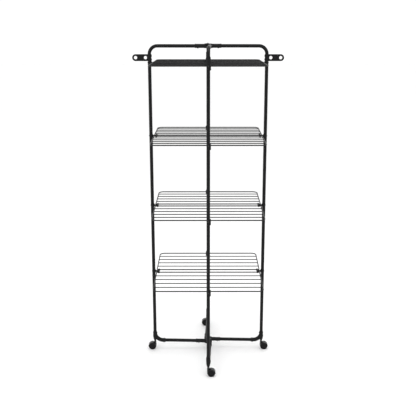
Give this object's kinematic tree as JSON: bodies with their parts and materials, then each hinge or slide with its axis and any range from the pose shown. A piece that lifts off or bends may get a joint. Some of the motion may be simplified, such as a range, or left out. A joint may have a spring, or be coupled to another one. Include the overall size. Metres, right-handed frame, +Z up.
{
  "type": "folding clothes drying tower",
  "caption": "Mobile folding clothes drying tower of coated tube: wire tiers in halves that drop, frames that fold flat on hub pins, hanger plates and swivel castors.",
  "frame": {"origin": "on the floor, on the upright axis of the tower", "axes": "+Z up; +X to the right, towards the right post; -Y to the front, towards the front post"},
  "size_m": [0.828, 0.6672, 1.8133],
  "materials": {
    "coated_tube": "black satin powder coat on steel tube",
    "coated_wire": "black satin powder coat on steel wire",
    "moulding": "black moulded plastic, fine matt texture",
    "castor_moulding": "black moulded nylon, slightly glossy",
    "wheel": "black hard plastic wheel with a smooth tread",
    "fastener": "blackened steel screws and rivets",
    "plated_steel": "black zinc plated steel"
  },
  "bodies": {
    "fixed_frame": {"left_top_bar": "coated_tube", "left_base_rail": "coated_tube", "left_corner_elbow": "moulding", "left_post": "coated_tube", "left_coupler": "moulding", "left_tier_brackets": "moulding", "right_top_bar": "coated_tube", "right_base_rail": "coated_tube", "right_corner_elbow": "moulding", "right_post": "coated_tube", "right_coupler": "moulding", "right_tier_brackets": "moulding", "top_hub": "moulding", "bottom_hub": "moulding", "top_hub_pins": "fastener", "bottom_hub_pins": "fastener", "fixed_frame_screws": "fastener", "bracket_screws": "fastener"},
    "front_frame": {"front_top_bar": "coated_tube", "front_base_rail": "coated_tube", "front_corner_elbow": "moulding", "front_post": "coated_tube", "front_coupler": "moulding", "front_top_arm": "moulding", "front_bottom_arm": "moulding", "front_tier_clips": "moulding", "front_frame_screws": "fastener"},
    "rear_frame": {"rear_top_bar": "coated_tube", "rear_base_rail": "coated_tube", "rear_corner_elbow": "moulding", "rear_post": "coated_tube", "rear_coupler": "moulding", "rear_top_arm": "moulding", "rear_bottom_arm": "moulding", "rear_tier_clips": "moulding", "rear_frame_screws": "fastener"},
    "front_tier_1": {"tier_1_front": "coated_wire"},
    "front_tier_2": {"tier_2_front": "coated_wire"},
    "front_tier_3": {"tier_3_front": "coated_wire"},
    "front_tier_4": {"tier_4_front": "coated_wire"},
    "rear_tier_1": {"tier_1_rear": "coated_wire"},
    "rear_tier_2": {"tier_2_rear": "coated_wire"},
    "rear_tier_3": {"tier_3_rear": "coated_wire"},
    "rear_tier_4": {"tier_4_rear": "coated_wire"},
    "right_castor": {"right_castor_housing": "castor_moulding", "right_castor_stem": "plated_steel", "right_castor_axle": "plated_steel"},
    "right_wheels": {"right_castor_wheels": "wheel"},
    "left_castor": {"left_castor_housing": "castor_moulding", "left_castor_stem": "plated_steel", "left_castor_axle": "plated_steel"},
    "left_wheels": {"left_castor_wheels": "wheel"},
    "front_castor": {"front_castor_housing": "castor_moulding", "front_castor_stem": "plated_steel", "front_castor_axle": "plated_steel"},
    "front_wheels": {"front_castor_wheels": "wheel"},
    "rear_castor": {"rear_castor_housing": "castor_moulding", "rear_castor_stem": "plated_steel", "rear_castor_axle": "plated_steel"},
    "rear_wheels": {"rear_castor_wheels": "wheel"}
  },
  "joints": [
    {"name": "front_frame_fold", "type": "hinge", "parent": "fixed_frame", "child": "front_frame", "pos_m": [0.012, -0.012, 1.8], "axis": [0, 0, 1], "range_deg": [0, 82]},
    {"name": "rear_frame_fold", "type": "hinge", "parent": "fixed_frame", "child": "rear_frame", "pos_m": [-0.012, 0.012, 1.8], "axis": [0, 0, 1], "range_deg": [0, 82]},
    {"name": "tier_1_front_drop", "type": "hinge", "parent": "fixed_frame", "child": "front_tier_1", "pos_m": [0, -0.021, 1.71], "axis": [1, 0, 0], "range_deg": [0, 90]},
    {"name": "tier_2_front_drop", "type": "hinge", "parent": "fixed_frame", "child": "front_tier_2", "pos_m": [0, -0.021, 1.307], "axis": [1, 0, 0], "range_deg": [0, 90]},
    {"name": "tier_3_front_drop", "type": "hinge", "parent": "fixed_frame", "child": "front_tier_3", "pos_m": [0, -0.021, 0.904], "axis": [1, 0, 0], "range_deg": [0, 90]},
    {"name": "tier_4_front_drop", "type": "hinge", "parent": "fixed_frame", "child": "front_tier_4", "pos_m": [0, -0.021, 0.501], "axis": [1, 0, 0], "range_deg": [0, 90]},
    {"name": "tier_1_rear_drop", "type": "hinge", "parent": "fixed_frame", "child": "rear_tier_1", "pos_m": [0, 0.021, 1.71], "axis": [-1, 0, 0], "range_deg": [0, 90]},
    {"name": "tier_2_rear_drop", "type": "hinge", "parent": "fixed_frame", "child": "rear_tier_2", "pos_m": [0, 0.021, 1.307], "axis": [-1, 0, 0], "range_deg": [0, 90]},
    {"name": "tier_3_rear_drop", "type": "hinge", "parent": "fixed_frame", "child": "rear_tier_3", "pos_m": [0, 0.021, 0.904], "axis": [-1, 0, 0], "range_deg": [0, 90]},
    {"name": "tier_4_rear_drop", "type": "hinge", "parent": "fixed_frame", "child": "rear_tier_4", "pos_m": [0, 0.021, 0.501], "axis": [-1, 0, 0], "range_deg": [0, 90]},
    {"name": "swivel_of_right_castor", "type": "hinge", "parent": "fixed_frame", "child": "right_castor", "pos_m": [0.32, 0, 0.06], "axis": [0, 0, 1], "continuous": true},
    {"name": "swivel_of_left_castor", "type": "hinge", "parent": "fixed_frame", "child": "left_castor", "pos_m": [-0.32, 0, 0.06], "axis": [0, 0, 1], "continuous": true},
    {"name": "swivel_of_front_castor", "type": "hinge", "parent": "front_frame", "child": "front_castor", "pos_m": [0, -0.32, 0.06], "axis": [0, 0, 1], "continuous": true},
    {"name": "swivel_of_rear_castor", "type": "hinge", "parent": "rear_frame", "child": "rear_castor", "pos_m": [0, 0.32, 0.06], "axis": [0, 0, 1], "continuous": true},
    {"name": "spin_of_right_wheels", "type": "hinge", "parent": "right_castor", "child": "right_wheels", "pos_m": [0.337, 0, 0.021], "axis": [0, 1, 0], "continuous": true},
    {"name": "spin_of_left_wheels", "type": "hinge", "parent": "left_castor", "child": "left_wheels", "pos_m": [-0.337, 0, 0.021], "axis": [0, 1, 0], "continuous": true},
    {"name": "spin_of_front_wheels", "type": "hinge", "parent": "front_castor", "child": "front_wheels", "pos_m": [0.017, -0.32, 0.021], "axis": [0, 1, 0], "continuous": true},
    {"name": "spin_of_rear_wheels", "type": "hinge", "parent": "rear_castor", "child": "rear_wheels", "pos_m": [-0.017, 0.32, 0.021], "axis": [0, 1, 0], "continuous": true}
  ],
  "couplings": [
    {"joint": "tier_1_front_drop", "follows": "front_frame_fold", "ratio": 1.0976},
    {"joint": "tier_2_front_drop", "follows": "front_frame_fold", "ratio": 1.0976},
    {"joint": "tier_3_front_drop", "follows": "front_frame_fold", "ratio": 1.0976},
    {"joint": "tier_4_front_drop", "follows": "front_frame_fold", "ratio": 1.0976},
    {"joint": "tier_1_rear_drop", "follows": "rear_frame_fold", "ratio": 1.0976},
    {"joint": "tier_2_rear_drop", "follows": "rear_frame_fold", "ratio": 1.0976},
    {"joint": "tier_3_rear_drop", "follows": "rear_frame_fold", "ratio": 1.0976},
    {"joint": "tier_4_rear_drop", "follows": "rear_frame_fold", "ratio": 1.0976}
  ]
}
